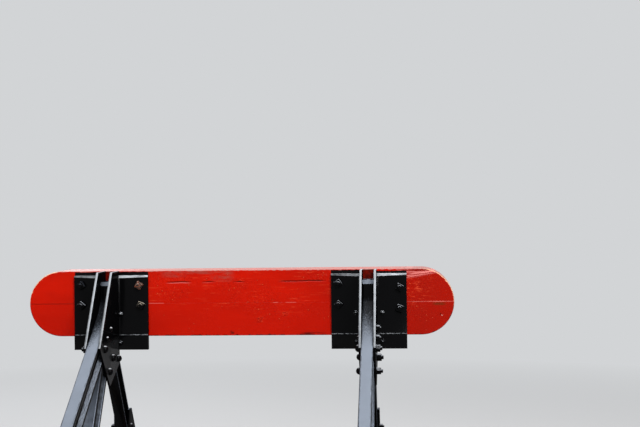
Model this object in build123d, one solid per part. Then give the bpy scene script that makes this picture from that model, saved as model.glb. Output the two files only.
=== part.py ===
from build123d import *
from math import copysign, cos, radians, sin, tan
import os

# A rail-built buffer stop: a timber beam on two braced frames that stand on the track's rails.
# X runs across the track, Y along it towards the train, Z up from the underside of the sleepers.

# Track
gauge = 1435.0
railHeadWidth = 69.85
baseRailHeight = 158.75
baseRailFoot = 139.7
baseRailWeb = 20.0
baseRailHeadDepth = 36.0
baseRailFootEdge = 11.0
baseRailFootRise = 16.0
baseRailLength = 2743.0
fishHoleRadius = 15.875
fishHoleSpacing = 127.0
fishHoleFromEnd = 57.15
fishHoleHeight = 71.4
sleeperLength = 2591.0
sleeperWidth = 254.0
sleeperDepth = 127.0
sleeperSetbacks = (1690.0, 950.0, 210.0, -530.0)

# Cast baseplates between rail and sleeper
plateThickness = 20.0
plateLength = 343.0
plateWidth = 178.0
plateBevel = 7.0
shoulderHeight = 34.0
shoulderWidth = 58.0
shoulderThickness = 30.0
shoulderGap = 1.0
clipHoleRadius = 10.0

# Beam
beamLength = 2484.0
beamHeight = 381.0
beamThickness = 254.0
beamCentreAboveRail = 1054.0
beamEdgeBevel = 4.0

# Rolled sections
bullHeight = 138.91
bullWidth = 68.26
bullWeb = 17.46
bullHeadDepth = 36.0
bullFootDepth = 24.0
railFlankRise = 9.0
railCornerRound = 10.0

# Brackets
bracketSpan = 435.0
flangeThickness = 20.0
flangeTopDrop = 26.0
flangeBevelOuter = 9.0
flangeBevelInner = 15.0
flangeBevelSteepness = 1.5
flangeHang = 77.0
hangPadThickness = 8.0
hangPadRise = 12.0
cheekThickness = 12.0
cheekTopReach = 176.0
cheekCornerReach = 470.0
cheekCornerDrop = 402.0
gussetRearReach = 439.0
gussetRearDrop = 438.0
gussetPointReach = 253.0
gussetPointDrop = 638.0
gussetPointRound = 14.0
gussetFrontReach = 14.0
gussetFrontDrop = 533.0
rootRound = 9.0

# Struts and legs: rakes from upright, reaches behind the beam's back face at rail level
strutTopDrop = 58.0
strutTopRun = 5.0
strutRake = 57.5
strutBendRadius = 300.0
strutTopChamfer = 20.0
rearLegRake = 35.3
rearLegFootReach = 906.0
rearLegTopGap = 14.0
frontLegRake = 34.4
frontLegFootReach = -409.0
frontLegWidth = 68.0
frontLegDepth = 100.0
frontLegFlange = 9.5
frontLegWeb = 9.0
frontLegRoot = 8.0
frontLegTopGap = 60.0

# Side plates at the feet
footPlateThickness = 12.7
footPlateLap = 95.0
footPlateMargin = 18.0
frontFootPlateTop = 400.0
frontFootPlateWidth = 64.0
rearFootPlateTop = 220.0
rearFootPlateWidth = 150.0
strutFootPlateTop = 140.0
strutFootPlateWidth = 220.0

frameX = (gauge + railHeadWidth) / 2
beamBackY = 498.0
railFootZ = sleeperDepth + plateThickness
railTopZ = railFootZ + baseRailHeight
beamTop = beamCentreAboveRail + beamHeight / 2
beamUnder = beamTop - beamHeight
strutTop = beamTop - strutTopDrop
strutKneeReach = bullHeight / 2
strutKneeHeight = strutTop - strutTopRun - strutBendRadius * tan(radians(strutRake / 2))
strutFootReach = strutKneeReach + strutKneeHeight * tan(radians(strutRake))


def at(reach, height):
    """Y and Z of a place given by its setback behind the beam and its height above the rails."""
    return (beamBackY - reach, railTopZ + height)


def plate(outline, x_low, x_high):
    """A flat plate standing along the track between two places across it."""
    sketch = Plane.YZ * make_face(Polyline(*outline, close=True))
    return Pos(x_low, 0, 0) * extrude(sketch, x_high - x_low, dir=(1, 0, 0))


def below_rail_top():
    reach = 3 * baseRailLength
    return Pos(0, 0, railTopZ - reach / 2) * Box(reach, reach, reach)


def above_height(height):
    """Everything higher than a height above the rails."""
    reach = 3 * baseRailLength
    return Pos(0, 0, railTopZ + height + reach / 2) * Box(reach, reach, reach)


def rolled_section(outline, web, root):
    """A section from the outline of its right half, with rounded roots where the web meets it."""
    mirrored = [(-x, y) for x, y in reversed(outline)]
    face = make_face(Polyline(*outline, *mirrored, close=True))
    roots = face.vertices().filter_by(lambda v: abs(abs(v.X) - web) < 0.01)
    return fillet(roots, root)


def bull_head_section():
    """Bull-head rail section in X and Y, its running face at +Y, its middle depth at the origin."""
    half = bullWidth / 2
    web = bullWeb / 2
    top = bullHeight / 2
    outline = [
        (half, top),
        (half, top - bullHeadDepth),
        (web, top - bullHeadDepth - railFlankRise),
        (web, bullFootDepth + railFlankRise - top),
        (half, bullFootDepth - top),
        (half, -top),
    ]
    face = rolled_section(outline, web, railCornerRound)
    face = fillet(face.vertices().group_by(Axis.Y)[-1], railCornerRound)
    return fillet(face.vertices().group_by(Axis.Y)[0], railCornerRound / 2)


def flat_bottom_section():
    """Flat-bottom rail section in X and Y, standing on Y = 0."""
    half = railHeadWidth / 2
    web = baseRailWeb / 2
    foot = baseRailFoot / 2
    outline = [
        (half, baseRailHeight),
        (half, baseRailHeight - baseRailHeadDepth),
        (web, baseRailHeight - baseRailHeadDepth - railFlankRise),
        (web, baseRailFootEdge + baseRailFootRise),
        (foot, baseRailFootEdge),
        (foot, 0),
    ]
    face = rolled_section(outline, web, railCornerRound)
    return fillet(face.vertices().group_by(Axis.Y)[-1], railCornerRound)


def joist_section():
    """I-section of the front leg in X and Y, its rear flange's face at +Y, centred on the origin."""
    half = frontLegWidth / 2
    web = frontLegWeb / 2
    top = frontLegDepth / 2
    inner = top - frontLegFlange
    outline = [(half, top), (half, inner), (web, inner), (web, -inner), (half, -inner), (half, -top)]
    return rolled_section(outline, web, frontLegRoot)


def leg_plane(foot_reach, rake):
    """Plane at a leg's rear face at rail level, normal up the leg, local Y out of the rear face."""
    y, z = at(foot_reach, 0)
    angle = radians(rake)
    up = Vector(0, sin(angle), cos(angle))
    return Plane(origin=(0, y, z), x_dir=(-1, 0, 0), z_dir=up)


def buffer_beam():
    face = Plane.XZ * SlotOverall(beamLength, beamHeight)
    beam = extrude(face, beamThickness, dir=(0, 1, 0))
    beam = chamfer(beam.edges().filter_by(Plane.XZ), beamEdgeBevel)
    y, z = at(0, beamCentreAboveRail)
    return Pos(0, y, z) * beam


def above_flange_bevel(cheek_out, flange_top):
    """Everything over the bevel along a flange's top, which widens towards the cheek."""
    y, z = at(flangeThickness, flange_top)
    outer = Vector(bracketSpan / 2, y, z - flangeBevelOuter)
    inner = Vector(cheek_out, y, z - flangeBevelInner)
    along = outer - inner
    normal = along.cross(Vector(0, 1, flangeBevelSteepness))
    size = 2 * beamHeight
    return Plane(origin=outer, x_dir=along, z_dir=normal) * Pos(0, 0, size / 2) * Box(size, size, size)


def bracket(side, hand):
    """One cast bracket: flange, cheek and gusset. hand is -1 left of the strut and 1 right."""
    cheek_in = bullWidth / 2
    cheek_out = cheek_in + cheekThickness
    flange_top = beamTop - flangeTopDrop
    hang = beamUnder - flangeHang
    flange = [
        at(0, flange_top),
        at(flangeThickness, flange_top),
        at(flangeThickness, beamUnder + hangPadRise),
        at(flangeThickness + hangPadThickness, beamUnder + hangPadRise - hangPadThickness / 2),
        at(flangeThickness + hangPadThickness, hang),
        at(0, hang),
    ]
    cheek = [
        at(0, beamTop),
        at(cheekTopReach, beamTop),
        at(cheekCornerReach, beamTop - cheekCornerDrop),
        at(gussetRearReach, beamTop - gussetRearDrop),
        at(gussetPointReach, beamTop - gussetPointDrop),
        at(gussetFrontReach, beamTop - gussetFrontDrop),
        at(gussetFrontReach, hang),
        at(0, hang),
    ]
    web = plate(cheek, cheek_in, cheek_out)
    point = web.edges().filter_by(Axis.X).sort_by(Axis.Z)[0]
    body = plate(flange, cheek_in, bracketSpan / 2) - above_flange_bevel(cheek_out, flange_top)
    body += fillet(point, gussetPointRound)
    root = Pos(rootRound / 2, -rootRound / 2) * Rectangle(rootRound, rootRound)
    root -= Pos(rootRound, -rootRound) * Circle(rootRound)
    root_y, root_top = at(flangeThickness, flange_top - flangeBevelInner)
    _, root_end = at(0, hang)
    body += Pos(cheek_out, root_y, root_end) * extrude(root, root_top - root_end, dir=(0, 0, 1))
    if hand < 0:
        body = mirror(body, Plane.YZ)
    return Pos(side * frameX, 0, 0) * body


def strut_path():
    """Centre line of the bent strut, from its top down to below the rails."""
    below = bullHeight
    foot_reach = strutFootReach + below * tan(radians(strutRake))
    top = at(strutKneeReach, strutTop)
    knee = at(strutKneeReach, strutKneeHeight)
    foot = at(foot_reach, -below)
    return FilletPolyline((0, *top), (0, *knee), (0, *foot), radius=strutBendRadius)


def back_strut(side):
    path = strut_path()
    start = Plane(origin=path @ 0, x_dir=(1, 0, 0), z_dir=path % 0)
    strut = sweep(start * bull_head_section(), path=path)
    strut -= below_rail_top()
    bevel = [
        at(bullHeight - strutTopChamfer, strutTop),
        at(bullHeight + bullWidth, strutTop - strutTopChamfer - bullWidth),
        at(bullHeight + bullWidth, strutTop),
    ]
    strut -= plate(bevel, -bullWidth, bullWidth)
    return Pos(side * frameX, 0, 0) * strut


def strut_underside():
    """Everything behind and above the plane of the raked strut's underside."""
    angle = radians(strutRake)
    y, z = at(strutKneeReach, strutKneeHeight)
    normal = Vector(0, -cos(angle), sin(angle))
    origin = Vector(0, y, z) - normal * (bullHeight / 2)
    size = 2 * baseRailLength
    return Plane(origin=origin, x_dir=(1, 0, 0), z_dir=normal) * Pos(0, 0, size / 2) * Box(size, size, size)


def rear_leg(side):
    section = Pos(0, -bullHeight / 2) * bull_head_section()
    length = 2 * beamTop
    leg = Pos(0, 0, -bullHeight) * extrude(section, length, dir=(0, 0, 1))
    leg = leg_plane(rearLegFootReach, rearLegRake) * leg
    leg -= below_rail_top()
    leg -= strut_underside()
    leg -= above_height(beamUnder - rearLegTopGap)
    return Pos(side * frameX, 0, 0) * leg.solids().sort_by(SortBy.VOLUME)[-1]


def front_leg(side):
    section = Pos(0, -frontLegDepth / 2) * joist_section()
    length = 2 * beamTop
    leg = Pos(0, 0, -frontLegDepth) * extrude(section, length, dir=(0, 0, 1))
    leg = leg_plane(frontLegFootReach, -frontLegRake) * leg
    leg -= below_rail_top()
    leg -= above_height(beamUnder - frontLegTopGap)
    return Pos(side * frameX, 0, 0) * leg


def gusset_outline(far, rake, top, width):
    """Outline of a foot's side plate: its far edge follows the leg's rake, its near edge is upright."""
    far_top = far - top * tan(radians(rake))
    near = far_top - copysign(width, rake)
    return [at(near, -footPlateLap), at(near, top), at(far_top, top), at(far, 0), at(far, -footPlateLap)]


def foot_plates(side, outline):
    """The pair of side plates that clasp a leg's foot and the base rail's head."""
    inner = railHeadWidth / 2
    outer = inner + footPlateThickness
    pair = plate(outline, inner, outer) + plate(outline, -outer, -inner)
    return Pos(side * frameX, 0, 0) * pair


def base_rail(side):
    rail = extrude(Plane.XZ * flat_bottom_section(), baseRailLength, dir=(0, 1, 0))
    rail = Pos(0, -baseRailLength / 2, railFootZ) * rail
    for step in (0, 1):
        y = baseRailLength / 2 - fishHoleFromEnd - step * fishHoleSpacing
        hole = Cylinder(fishHoleRadius, baseRailFoot, rotation=(0, 90, 0))
        rail -= Pos(0, y, railFootZ + fishHoleHeight) * hole
    return Pos(side * frameX, 0, 0) * rail


def rail_plates(side):
    """Baseplates under one rail, each with two cast shoulders bored along the track for spring clips."""
    bottom = (Align.CENTER, Align.CENTER, Align.MIN)
    body = Box(plateLength, plateWidth, plateThickness, align=bottom)
    body = chamfer(body.edges().group_by(Axis.Z)[-1], plateBevel)
    shoulder = Box(shoulderThickness, shoulderWidth, plateThickness + shoulderHeight, align=bottom)
    bore = Cylinder(clipHoleRadius, 2 * shoulderWidth, rotation=(90, 0, 0))
    shoulder -= Pos(0, 0, plateThickness + shoulderHeight / 2) * bore
    for hand in (-1, 1):
        x = hand * (baseRailFoot / 2 + shoulderGap + shoulderThickness / 2)
        body += Pos(x, 0, 0) * shoulder
    places = [at(reach, 0)[0] for reach in sleeperSetbacks]
    return Compound([Pos(side * frameX, y, sleeperDepth) * body for y in places])


def sleeper(reach):
    y, _ = at(reach, 0)
    body = Box(sleeperLength, sleeperWidth, sleeperDepth, align=(Align.CENTER, Align.CENTER, Align.MIN))
    return Pos(0, y, 0) * body


def all_pieces():
    pieces = {"buffer_beam": buffer_beam()}
    strut_far = strutFootReach + bullHeight / 2 / cos(radians(strutRake)) + footPlateMargin
    rear_far = rearLegFootReach + footPlateMargin
    front_far = frontLegFootReach - frontLegDepth / cos(radians(frontLegRake)) - footPlateMargin
    for label, side in (("left", -1), ("right", 1)):
        pieces[label + "_outer_bracket"] = bracket(side, side)
        pieces[label + "_inner_bracket"] = bracket(side, -side)
        pieces[label + "_back_strut"] = back_strut(side)
        pieces[label + "_rear_leg"] = rear_leg(side)
        pieces[label + "_front_leg"] = front_leg(side)
        pieces[label + "_strut_foot_plates"] = foot_plates(side, gusset_outline(
            strut_far, strutRake, strutFootPlateTop, strutFootPlateWidth))
        pieces[label + "_rear_foot_plates"] = foot_plates(side, gusset_outline(
            rear_far, rearLegRake, rearFootPlateTop, rearFootPlateWidth))
        pieces[label + "_front_foot_plates"] = foot_plates(side, gusset_outline(
            front_far, -frontLegRake, frontFootPlateTop, frontFootPlateWidth))
        pieces[label + "_base_rail"] = base_rail(side)
        pieces[label + "_rail_plates"] = rail_plates(side)
    names = ("rear", "second", "third", "front")
    for name, reach in zip(names, sleeperSetbacks):
        pieces[name + "_sleeper"] = sleeper(reach)
    return pieces


os.makedirs("parts", exist_ok=True)
for name, piece in all_pieces().items():
    export_step(piece, os.path.join("parts", name + ".step"))
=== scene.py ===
import bpy
import bmesh
import math
from functools import partial
from mathutils import Euler, Matrix, Vector, noise


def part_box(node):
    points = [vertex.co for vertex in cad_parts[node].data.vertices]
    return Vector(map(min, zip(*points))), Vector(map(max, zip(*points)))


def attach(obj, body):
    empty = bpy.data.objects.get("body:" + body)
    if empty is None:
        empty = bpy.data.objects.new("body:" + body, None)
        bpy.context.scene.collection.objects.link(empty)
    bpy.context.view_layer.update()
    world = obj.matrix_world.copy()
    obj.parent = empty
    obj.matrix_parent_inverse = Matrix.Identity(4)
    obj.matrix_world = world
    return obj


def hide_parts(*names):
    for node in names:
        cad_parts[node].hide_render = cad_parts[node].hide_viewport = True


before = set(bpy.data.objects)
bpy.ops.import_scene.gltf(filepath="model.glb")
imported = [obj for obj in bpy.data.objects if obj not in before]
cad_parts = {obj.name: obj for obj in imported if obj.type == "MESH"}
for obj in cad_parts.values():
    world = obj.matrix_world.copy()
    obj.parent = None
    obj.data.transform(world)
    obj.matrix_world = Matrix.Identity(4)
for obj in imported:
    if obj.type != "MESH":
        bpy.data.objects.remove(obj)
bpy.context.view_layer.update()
print("frame loaded,", len(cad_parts), "nodes")

# Places read from the frame, in metres
beamLow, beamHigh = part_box("buffer_beam")
railLow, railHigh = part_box("right_base_rail")
beamBack = beamLow.y
beamFront = beamHigh.y
beamTop = beamHigh.z
beamBottom = beamLow.z
beamCentre = (beamLow.z + beamHigh.z) / 2
beamRadius = (beamHigh.z - beamLow.z) / 2
railTop = railHigh.z
frameX = (railLow.x + railHigh.x) / 2
mm = 0.001
sides = (("left", -1), ("right", 1))
sleeperNames = ("rear", "second", "third", "front")


def spot(side, across, reach, height):
    # millimetres across from a frame's middle, behind the beam and above the rails
    return Vector((side * frameX + across * mm, beamBack - reach * mm, railTop + height * mm))


# Helpers for nodes, meshes and modifiers

def linear(hexColour):
    channels = [int(hexColour[i:i + 2], 16) / 255 for i in (1, 3, 5)]
    return [c / 12.92 if c <= 0.04045 else ((c + 0.055) / 1.055) ** 2.4 for c in channels] + [1.0]


# short names for the nodes used most: Blender's name, settings, inputs in the order given, output passed on
nodeKinds = {
    "place": ("ShaderNodeTexCoord", {}, (), "Object"),
    "facing": ("ShaderNodeNewGeometry", {}, (), "Normal"),
    "stretch": ("ShaderNodeMapping", {}, ("Vector", "Scale", "Rotation"), "Vector"),
    "split": ("ShaderNodeSeparateXYZ", {}, ("Vector",), None),
    "join": ("ShaderNodeCombineXYZ", {}, ("X", "Y", "Z"), 0),
    "noise": ("ShaderNodeTexNoise", {}, ("Vector", "Scale", "Detail", "Roughness", "Distortion"), "Fac"),
    "range": ("ShaderNodeMapRange", {}, ("Value", "From Min", "From Max", "To Min", "To Max"), "Result"),
    "mix": ("ShaderNodeMix", {"data_type": "RGBA"}, (0, 6, 7), 2),
    "between": ("ShaderNodeMix", {"data_type": "FLOAT"}, (0, 2, 3), 0),
    "bump": ("ShaderNodeBump", {}, ("Height", "Distance", "Strength", "Normal"), "Normal"),
}
for operation in ("ADD", "SUBTRACT", "MULTIPLY", "DIVIDE", "MAXIMUM", "ABSOLUTE", "SQRT", "SIGN", "FRACT",
                  "SINE", "ARCTAN2", "GREATER_THAN"):
    nodeKinds[operation.lower()] = ("ShaderNodeMath", {"operation": operation}, (0, 1), 0)


def setInputs(node, inputs):
    for socket, value in inputs.items():
        if isinstance(value, bpy.types.NodeSocket):
            node.id_data.links.new(value, node.inputs[socket])
        else:
            isColour = isinstance(value, str) and value.startswith("#")
            node.inputs[socket].default_value = linear(value) if isColour else value


def addNode(tree, kind, *values, inputs=None, **settings):
    # kind is a short name from nodeKinds, which says where the values go, or Blender's own name
    name, fixed, sockets, output = nodeKinds.get(kind, (kind, {}, (), None))
    node = tree.nodes.new(name)
    for key, value in {**fixed, **settings}.items():
        setattr(node, key, value)
    setInputs(node, {**dict(zip(sockets, values)), **(inputs or {})})
    return node if output is None else node.outputs[output]


def newMaterial(name):
    material = bpy.data.materials.new(name)
    material.use_nodes = True
    material.node_tree.nodes.clear()
    add = partial(addNode, material.node_tree)
    shader = add("ShaderNodeBsdfPrincipled")
    add("ShaderNodeOutputMaterial", inputs={"Surface": shader.outputs["BSDF"]})
    return material, add, shader


def patterns(add, rows):
    # a noise on the object's own coordinates for each row: cycles a metre along each axis, detail,
    # roughness and any warp
    place = add("place")
    return [add("noise", add("stretch", place, scale), 1.0, *rest) for scale, *rest in rows.values()]


def product(add, *factors):
    # the factors times one another; a tuple stands for a value and the range that it is faded over
    result = None
    for factor in factors:
        value = add("range", *factor) if isinstance(factor, tuple) else factor
        result = value if result is None else add("multiply", result, value)
    return result


def within(add, value, middle, half, fade):
    # 1 inside a span, falling to 0 over the fade at each end
    away = add("absolute", add("subtract", value, middle))
    return add("range", away, half, half - fade)


def painted(add, size, ground, *layers):
    # each layer lies over the one before: the factors of its share, then its colour or the colour's name
    colour = size[ground] if isinstance(ground, str) else ground
    for *factors, coat in layers:
        colour = add("mix", product(add, *factors), colour, size[coat] if isinstance(coat, str) else coat)
    return colour


def placedObject(name, data):
    piece = bpy.data.objects.new(name, data)
    bpy.context.scene.collection.objects.link(piece)
    return piece


def meshObject(name, body, material):
    mesh = bpy.data.meshes.new(name)
    body.to_mesh(mesh)
    body.free()
    mesh.materials.append(material)
    return placedObject(name, mesh)


def loft(body, rings):
    # closed outlines joined one to the next, with a face over each end
    count = len(rings[0])
    for one, two in zip(rings, rings[1:]):
        for i in range(count):
            j = (i + 1) % count
            body.faces.new((one[i], one[j], two[j], two[i]))
    return [body.faces.new(list(reversed(rings[0]))), body.faces.new(rings[-1])]


def plainMesh(piece):
    # the evaluated shape as a plain mesh, with the modifiers gone
    graph = bpy.context.evaluated_depsgraph_get()
    mesh = bpy.data.meshes.new_from_object(piece.evaluated_get(graph))
    piece.modifiers.clear()
    piece.data = mesh
    return piece


def smoothEdges(piece, width, steps=2, weighted=False):
    # small rounded edges, whose glints show where the paint or the scale is thin
    for face in piece.data.polygons:
        face.use_smooth = True
    bevel = piece.modifiers.new("edges", "BEVEL")
    bevel.width = width
    bevel.segments = steps
    bevel.limit_method = "WEIGHT" if weighted else "ANGLE"
    bevel.angle_limit = math.radians(28)
    bevel.harden_normals = True
    bevel.use_clamp_overlap = True
    return plainMesh(piece)


def finish(piece, material, *nodes):
    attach(piece, "root")
    if nodes:
        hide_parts(*nodes)


# Materials

paintedBeam = {
    "red": "#C81400",
    "redDeep": "#B31000",
    "redBright": "#E4502E",
    "redDark": "#8A0C02",
    "redDull": "#9C1103",
    "wornPink": "#E8837C",
    "wornGrey": "#9C4438",
    "topPale": "#B0827A",
    "rimPale": "#E8B48E",
    "shade": "#3A0A04",
    "seamPink": "#E2766C",
    "chip": "#E6B4A4",
    "bandBlack": "#070708",
    "knot": "#5E2A0C",
    # brush lines, dust and sand are under a millimetre on real paint, too fine to show, so they are drawn
    # 4 to 8 mm wide
    "patterns": {
        "grain": ((4, 30, 90), 5.0, 0.6),
        "brush": ((14, 120, 260), 3.0, 0.5),
        "blotch": ((2.2, 3, 5), 3.0, 0.55),
        "streak": ((5, 20, 150), 4.0, 0.6),
        "speck": ((150, 150, 220), 3.0, 0.7),
        "dashes": ((16, 1, 1), 2.0, 0.5),
        "dusty": ((4.5, 4.5, 7), 2.0, 0.5),
        "sand": ((120, 150, 190), 2.0, 0.6),
        "pulled": ((9, 1, 240), 3.0, 0.6),
        "thinned": ((12, 20, 45), 4.0, 0.65),
        "wander": ((3.5, 0, 0), 3.0, 0.5),
        "dirt": ((60, 60, 60), 3.0, 0.6),
        "torn": ((38, 38, 38), 3.0, 0.6),
    },
    "pimpleCells": 34.0,  # cells a metre, not all of which hold a pimple
    "slantScale": (34, 1, 190),
    "slantTurn": (0.0, 0.42, 0.0),
    # a shake runs on and off below the top edge: its drop, and its open runs from the middle
    "shakeDrop": 0.067,
    "shakeRuns": ((-0.435, -0.276), (-0.223, -0.135), (-0.041, 0.041), (0.223, 0.510)),
    # rubbed patches, grit under the paint, the knot, a chip with a painted shade beside it, and dark patches
    # low on the beam: middle, drop below the top, half width and half height
    "rubbed": ((-0.383, 0.016, 0.085, 0.030), (-0.240, 0.012, 0.120, 0.014), (-0.100, 0.032, 0.080, 0.040)),
    "gritty": ((0.118, 0.289, 0.024, 0.020), (0.264, 0.256, 0.022, 0.016)),
    "knotPlace": ((1.156, 0.204, 0.048, 0.010),),
    "chipPlace": ((1.171, 0.2705, 0.0060, 0.0020),),
    "chipShade": ((1.162, 0.2630, 0.0070, 0.0045),),
    "lowDarkPatches": ((0.425, 0.374, 0.085, 0.014), (-0.045, 0.362, 0.016, 0.014)),
    # black paint carried up from the flanges to the beam's top edge, and how far below the edge it starts
    "bandHalf": 0.2175,
    "bandInner": 0.046,
    "bandBottom": 0.044,
    "bandStart": 0.0055,
    "bandStartLast": 0.0125,  # over the last bracket on the right
}


def patches(add, x, drop, places):
    # 1 inside any of the places, with soft edges
    result = 0.0
    for middle, level, half, deep in places:
        wide = within(add, x, middle, half, half * 0.6)
        spread = product(add, wide, within(add, drop, level, deep, deep * 0.5))
        result = add("maximum", spread, result)
    return result


def glossRedOnTimber():
    # several coats of brushed gloss enamel on sawn timber: brush lines, pimples, shakes, a knot, and a
    # painted highlight and painted shade on the arrises
    size = paintedBeam
    material, add, shader = newMaterial("gloss_red_enamel_on_timber")
    times = partial(product, add)
    place = add("place")
    x, y, z = add("split", place).outputs
    _, outward, upward = add("split", add("facing")).outputs
    (grain, brush, blotch, streak, speck, dashes, dusty, sand, pulled, thinned, wander, dirt,
     torn) = patterns(add, size["patterns"])
    drop = add("subtract", beamTop, z)
    spots = partial(patches, add, x, drop)
    # how far a point lies inside the beam's outline, seen from behind
    past = add("maximum", add("subtract", add("absolute", x), beamHigh.x - beamRadius), 0.0)
    rise = add("subtract", z, beamCentre)
    inside = add("subtract", beamRadius, add("sqrt", add("add", times(past, past), times(rise, rise))))
    layers = [
        ((blotch, 0.35, 0.7), "redDeep"),
        ((drop, 0.1, 0.3, 0.0, 0.5), "redDeep"),
        ((grain, 0.6, 0.8, 0.0, 0.10), "redBright"),
        ((x, frameX + 0.1, frameX + 0.3, 0.0, 0.9), "redDull"),
    ]
    # pimples of dust under the paint, a few millimetres across, each with a painted highlight and a
    # painted shade round its foot
    zone = times((dusty, 0.42, 0.60), (drop, 0.34, 0.20, 0.15, 1.0), (x, -0.85, -0.60, 0.1, 1.0))
    cells = add("ShaderNodeTexVoronoi", inputs={"Vector": place, "Scale": size["pimpleCells"]}).outputs
    chance = add("split", cells["Color"]).outputs["X"]
    chosen = times((chance, 0.45, 0.5), (zone, 0.0, 0.5, 0.2, 1.0))
    pimple = times((cells["Distance"], 0.13, 0.06), chosen)
    layers += [
        (zone, (sand, 0.42, 0.34, 0.0, 0.55), "redDark"),
        (zone, (sand, 0.62, 0.72, 0.0, 0.5), "redBright"),
        ((cells["Distance"], 0.24, 0.16), chosen, 0.35, "redDark"),
        (pimple, 0.85, "redBright"),
    ]
    # painted glints where the brush dragged half-dry paint, level in the middle and slanting at the right
    # end, with painted shade in the slanting wrinkles, and painted highlights and shade on the grit's specks
    level = times((pulled, 0.63, 0.70, 0.0, 0.55), (drop, 0.30, 0.22), (x, -0.60, -0.50), (x, 0.60, 0.50))
    slanting = add("noise", add("stretch", place, size["slantScale"], size["slantTurn"]), 1.0, 3.0, 0.6)
    wrinkled = times((x, frameX + 0.16, frameX + 0.20), (x, frameX + 0.40, frameX + 0.28),
                     (drop, 0.24, 0.16), (drop, 0.03, 0.06))
    gritty = spots(size["gritty"])
    layers += [
        (add("maximum", level, times(wrinkled, (slanting, 0.58, 0.68, 0.0, 0.75))), "redBright"),
        (wrinkled, (slanting, 0.42, 0.34, 0.0, 0.6), "redDark"),
        (gritty, (speck, 0.50, 0.58, 0.0, 0.8), "redDark"),
        (gritty, (speck, 0.44, 0.38, 0.0, 0.8), "redBright"),
    ]
    # worn streaks below the top edge past the right frame, drawn together towards the round end, and a
    # dark band with tar spots just below the edge
    beyond = add("maximum", add("subtract", x, frameX + 0.22), 0.0)
    taper = add("add", drop, times(beyond, 0.18))
    nearTop = times((taper, 0.062, 0.046), (x, frameX + 0.15, frameX + 0.20))
    spread = add("divide", drop, add("subtract", 1.0, times(beyond, 3.0)))
    bands = add("noise", add("join", times(x, 5.0), 0.0, times(spread, 170.0)), 1.0, 3.0, 0.55)
    wear = times(nearTop, (bands, 0.475, 0.515, 0.0, 0.95))
    tarry = times(nearTop, within(add, drop, 0.0105, 0.0065, 0.0025), (x, frameX + 0.36, frameX + 0.30))
    layers += [
        (nearTop, (bands, 0.49, 0.45, 0.0, 0.8), "redDark"),
        (wear, "wornPink"),
        (tarry, 0.85, "redDark"),
        (tarry, (speck, 0.56, 0.62, 0.0, 0.8), "shade"),
        (spots(size["rubbed"]), (thinned, 0.38, 0.60, 0.0, 0.7), "wornGrey"),
    ]
    # the shake, with a pale lip under it
    wavy = add("add", drop, add("range", wander, 0.3, 0.7, -0.004, 0.004))
    runs = 0.0
    for low, high in size["shakeRuns"]:
        runs = add("maximum", within(add, x, (low + high) / 2, (high - low) / 2, 0.04), runs)
    shake = times(within(add, wavy, size["shakeDrop"], 0.0036, 0.0020), runs)
    lip = within(add, wavy, size["shakeDrop"] + 0.0062, 0.0026, 0.002)
    # the joint of the two baulks: a dark line at the left, broken in the middle, pale pink at the right
    joint = within(add, z, beamCentre, 0.0028, 0.0016)
    layers += [
        (shake, 0.9, "shade"),
        (lip, runs, (x, -0.15, -0.28, 0.1, 0.6), "wornPink"),
        (joint, (x, -0.95, -0.99, 0.0, 0.6), "shade"),
        (joint, (x, 0.93, 0.98), (dashes, 0.35, 0.60, 0.12, 0.65), "seamPink"),
        (joint, (dashes, 0.60, 0.66, 0.0, 0.5), (x, -0.66, -0.60), "seamPink"),
        (spots(size["knotPlace"]), (grain, 0.35, 0.6, 0.2, 0.8), "knot"),
        (spots(size["chipShade"]), 0.8, "shade"),
        (spots(size["chipPlace"]), "chip"),
        (spots(size["lowDarkPatches"]), (thinned, 0.38, 0.55, 0.1, 0.85), "shade"),
    ]
    # painted shade, mottled, in the slot between the cheeks, and black paint over the beam's back above each
    # flange
    offset = add("absolute", add("subtract", add("absolute", x), frameX))
    onBack = add("range", y, beamBack + 0.003, beamBack + 0.001)
    ragged = add("range", torn, 0.3, 0.7, -0.0035, 0.0035)
    start = add("range", x, frameX, frameX + 0.03, size["bandStart"], size["bandStartLast"])
    depth = add("subtract", add("add", drop, times(ragged, 0.6)), start)
    # arrises: a painted highlight round the top, a ragged painted shade underneath; the top face is chalked
    # by weather and also carries a painted sheen
    onFace = add("range", outward, -0.3, -0.6)
    rim = times((add("add", inside, ragged), 0.0046, 0.0022), onFace,
                (rise, beamRadius * -0.25, beamRadius * 0.35))
    ends = add("range", past, 0.0, 0.04)
    lower = add("add", inside, times(ragged, 2.0))
    chalkAndSheen = times((upward, 0.80, 0.95), (streak, 0.35, 0.62, 1.0, 0.55))
    layers += [
        ((offset, size["bandInner"] + 0.002, size["bandInner"]), onBack,
         (dirt, 0.35, 0.65, 0.72, 0.96), "shade"),
        (rim, ends, "rimPale"),
        (rim, add("subtract", 1.0, ends), 0.8, "topPale"),
        ((lower, 0.004, 0.001), onFace, (rise, 0.0, beamRadius * -0.3), 0.85, "shade"),
        (chalkAndSheen, "topPale"),
        ((offset, size["bandHalf"] + 0.002, size["bandHalf"] - 0.001), onBack,
         (offset, size["bandInner"] - 0.004, size["bandInner"]), (depth, -0.001, 0.001),
         (drop, size["bandBottom"], size["bandBottom"] - 0.002), "bandBlack"),
    ]
    normal = add("bump", add("add", times(brush, 0.3), times(grain, 0.7)), 0.0010, 0.45)
    normal = add("bump", add("add", pimple, times(zone, sand)), 0.0022, 0.8, normal)
    normal = add("bump", times(gritty, speck), 0.003, 0.8, normal)
    dull = times(add("maximum", chalkAndSheen, wear), 0.6)
    setInputs(shader, {
        "Base Color": painted(add, size, "red", *layers),
        "Roughness": add("maximum", add("range", blotch, 0.3, 0.7, 0.14, 0.24), dull),
        "IOR": 1.16,
        "Normal": add("bump", times(shake, -1.0), 0.002, 0.7, normal),
    })
    return material


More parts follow.
